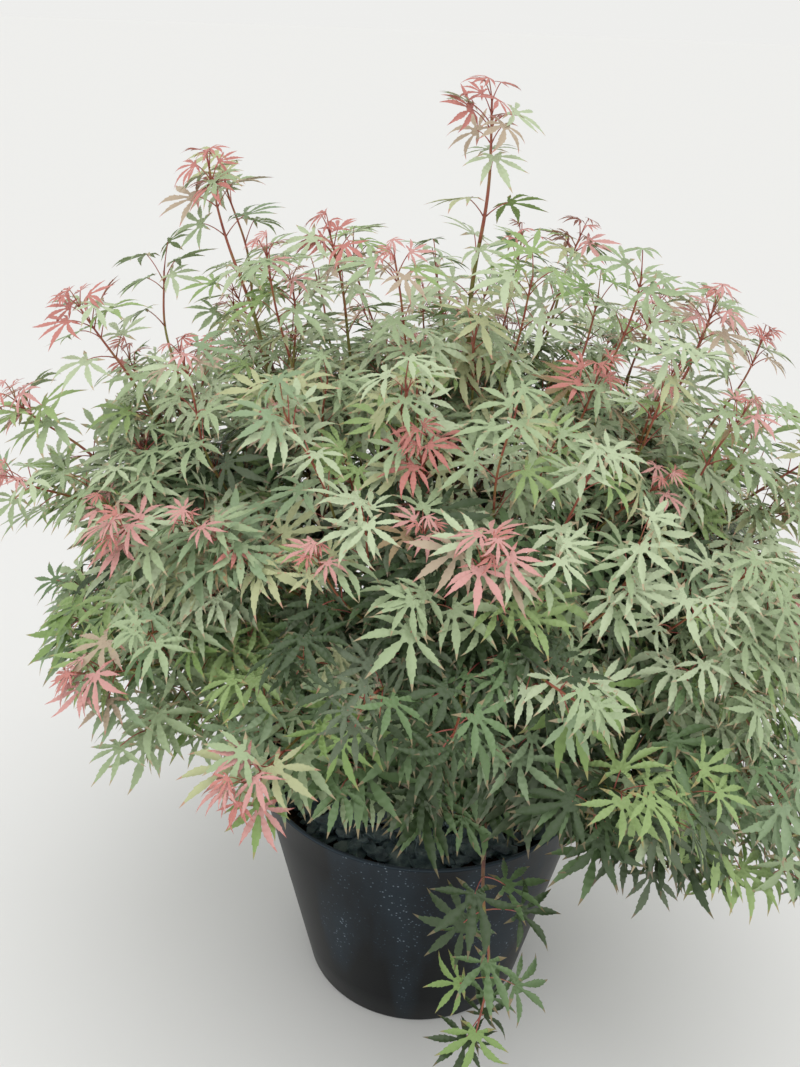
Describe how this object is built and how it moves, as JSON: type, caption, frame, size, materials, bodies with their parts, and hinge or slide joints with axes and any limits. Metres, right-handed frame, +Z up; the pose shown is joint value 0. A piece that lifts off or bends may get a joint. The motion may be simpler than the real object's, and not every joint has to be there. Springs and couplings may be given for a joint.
{
  "type": "potted japanese maple shrub",
  "caption": "Many-stemmed japanese maple shrub with deeply cut, grey-green leaves and pink young shoots, in a round tapered tub topped with slate chippings.",
  "frame": {"origin": "middle of the tub's flat underside, on the ground", "axes": "+Z up, -Y towards the front of the plant, +X to its right"},
  "size_m": [1.166, 1.0394, 1.2651],
  "materials": {
    "tub": "dark blue-black, smooth and faintly glossy, with pale lime specks",
    "potting_mix": "dark brown, damp and crumbly",
    "slate_chippings": "blue-grey split stone chips, matt",
    "bark": "red-brown to olive young bark, faintly streaked",
    "foliage": "grey-green matt leaves, pink at the shoot tips"
  },
  "bodies": {
    "root": {"tub": "tub", "potting_mix": "potting_mix", "slate_chippings": "slate_chippings", "trunk": "bark", "bough_leader": "bark", "bough_upper_left": "bark", "bough_upper_right": "bark", "bough_far_left": "bark", "bough_front": "bark", "bough_far_right": "bark", "bough_rear": "bark", "bough_middle_left": "bark", "bough_middle_rear": "bark", "bough_middle_right": "bark", "bough_middle_front": "bark", "bough_left_shoulder": "bark", "bough_rear_right": "bark", "bough_rear_left": "bark", "bough_left_front": "bark", "bough_left_front_skirt": "bark", "bough_left_skirt": "bark", "bough_front_left_skirt": "bark", "bough_front_skirt": "bark", "bough_front_tail": "bark", "bough_front_right_skirt": "bark", "bough_right_front_skirt": "bark", "bough_right_front": "bark", "bough_right_rear_skirt": "bark", "bough_rear_right_skirt": "bark", "bough_rear_skirt": "bark", "bough_rear_left_skirt": "bark", "leaves_leader": "foliage", "leaves_upper_left": "foliage", "leaves_upper_right": "foliage", "leaves_far_left": "foliage", "leaves_front": "foliage", "leaves_far_right": "foliage", "leaves_rear": "foliage", "leaves_middle_left": "foliage", "leaves_middle_rear": "foliage", "leaves_middle_right": "foliage", "leaves_middle_front": "foliage", "leaves_left_shoulder": "foliage", "leaves_rear_right": "foliage", "leaves_rear_left": "foliage", "leaves_left_front": "foliage", "leaves_left_front_skirt": "foliage", "leaves_left_skirt": "foliage", "leaves_front_left_skirt": "foliage", "leaves_front_skirt": "foliage", "leaves_front_tail": "foliage", "leaves_front_right_skirt": "foliage", "leaves_right_front_skirt": "foliage", "leaves_right_front": "foliage", "leaves_right_rear_skirt": "foliage", "leaves_rear_right_skirt": "foliage", "leaves_rear_skirt": "foliage", "leaves_rear_left_skirt": "foliage"}
  },
  "joints": []
}
